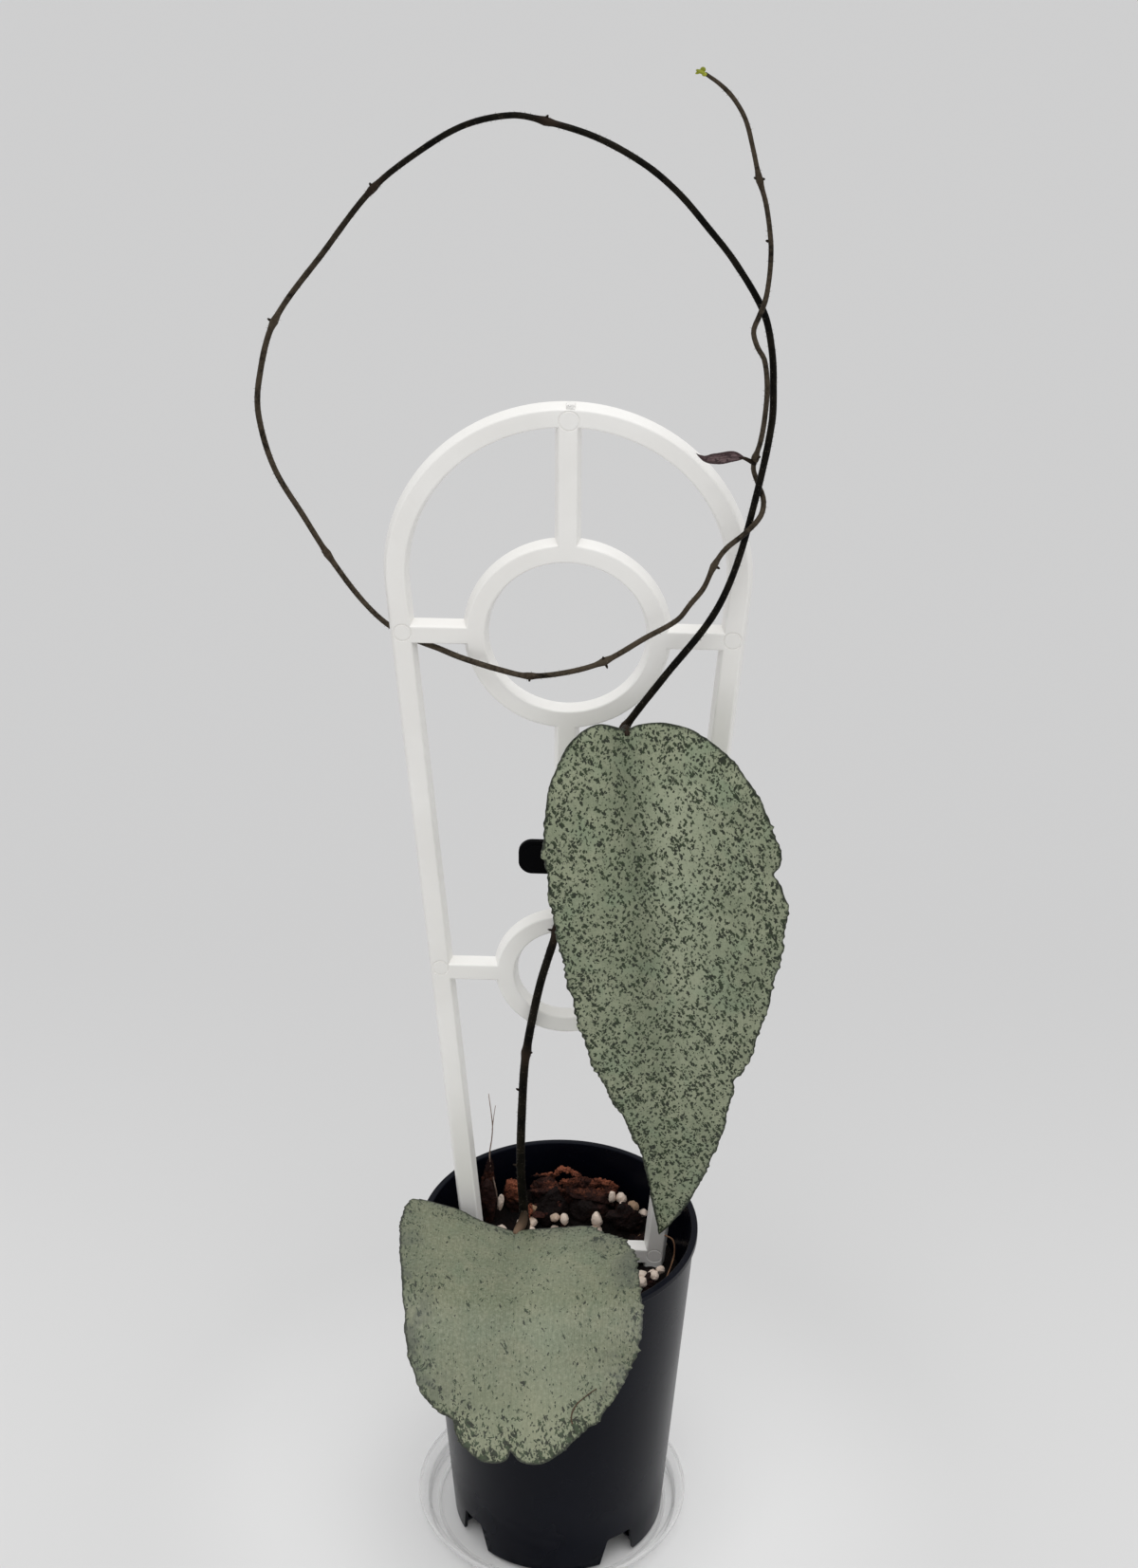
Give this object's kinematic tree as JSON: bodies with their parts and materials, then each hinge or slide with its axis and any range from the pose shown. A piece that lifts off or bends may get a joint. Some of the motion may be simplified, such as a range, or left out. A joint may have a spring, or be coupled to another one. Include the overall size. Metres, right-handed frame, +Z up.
{
  "type": "potted climbing houseplant",
  "caption": "Potted hoya with large flecked leaves, its long vine looped over a small arched trellis in a nursery pot on a clear saucer.",
  "frame": {"origin": "centre of the saucer's flat underside, on the floor", "axes": "+Z up; X along the trellis's width; the plant's front and the draped lower leaf face -Y"},
  "size_m": [0.1732, 0.1394, 0.5494],
  "materials": {
    "clear_plastic": "thin clear moulded plastic, faintly ringed",
    "black_plastic": "near-black satin nursery pot",
    "dark_bark": "damp dark bark and fibre",
    "red_bark": "dry reddish bark",
    "perlite": "white crumbly grain",
    "white_plastic": "warm white moulded plastic",
    "clip_black": "black moulded plastic",
    "stem_brown": "dark green-brown living stem with fine pale hairs",
    "leaf_green": "thick grey-green leaf with dark flecks",
    "leaf_pale": "thick pale grey-green leaf with fine veins",
    "leaf_purple": "young purple-brown leaf",
    "dry_root": "dry pinkish-brown root"
  },
  "bodies": {
    "root": {"saucer": "clear_plastic", "pot": "black_plastic", "potting_mix": "dark_bark", "trellis": "white_plastic", "clip": "clip_black", "vine": "stem_brown", "leaf_upper": "leaf_green", "leaf_lower": "leaf_pale", "leaf_young": "leaf_purple", "dry_twig": "dry_root", "rootlet": "dry_root", "bark_chip_1": "red_bark", "bark_chip_2": "red_bark", "bark_chip_3": "red_bark", "bark_chip_4": "red_bark", "bark_chip_5": "red_bark", "perlite_01": "perlite", "perlite_02": "perlite", "perlite_03": "perlite", "perlite_04": "perlite", "perlite_05": "perlite", "perlite_06": "perlite", "perlite_07": "perlite", "perlite_08": "perlite", "perlite_09": "perlite", "perlite_10": "perlite", "perlite_11": "perlite", "perlite_12": "perlite"}
  },
  "joints": []
}
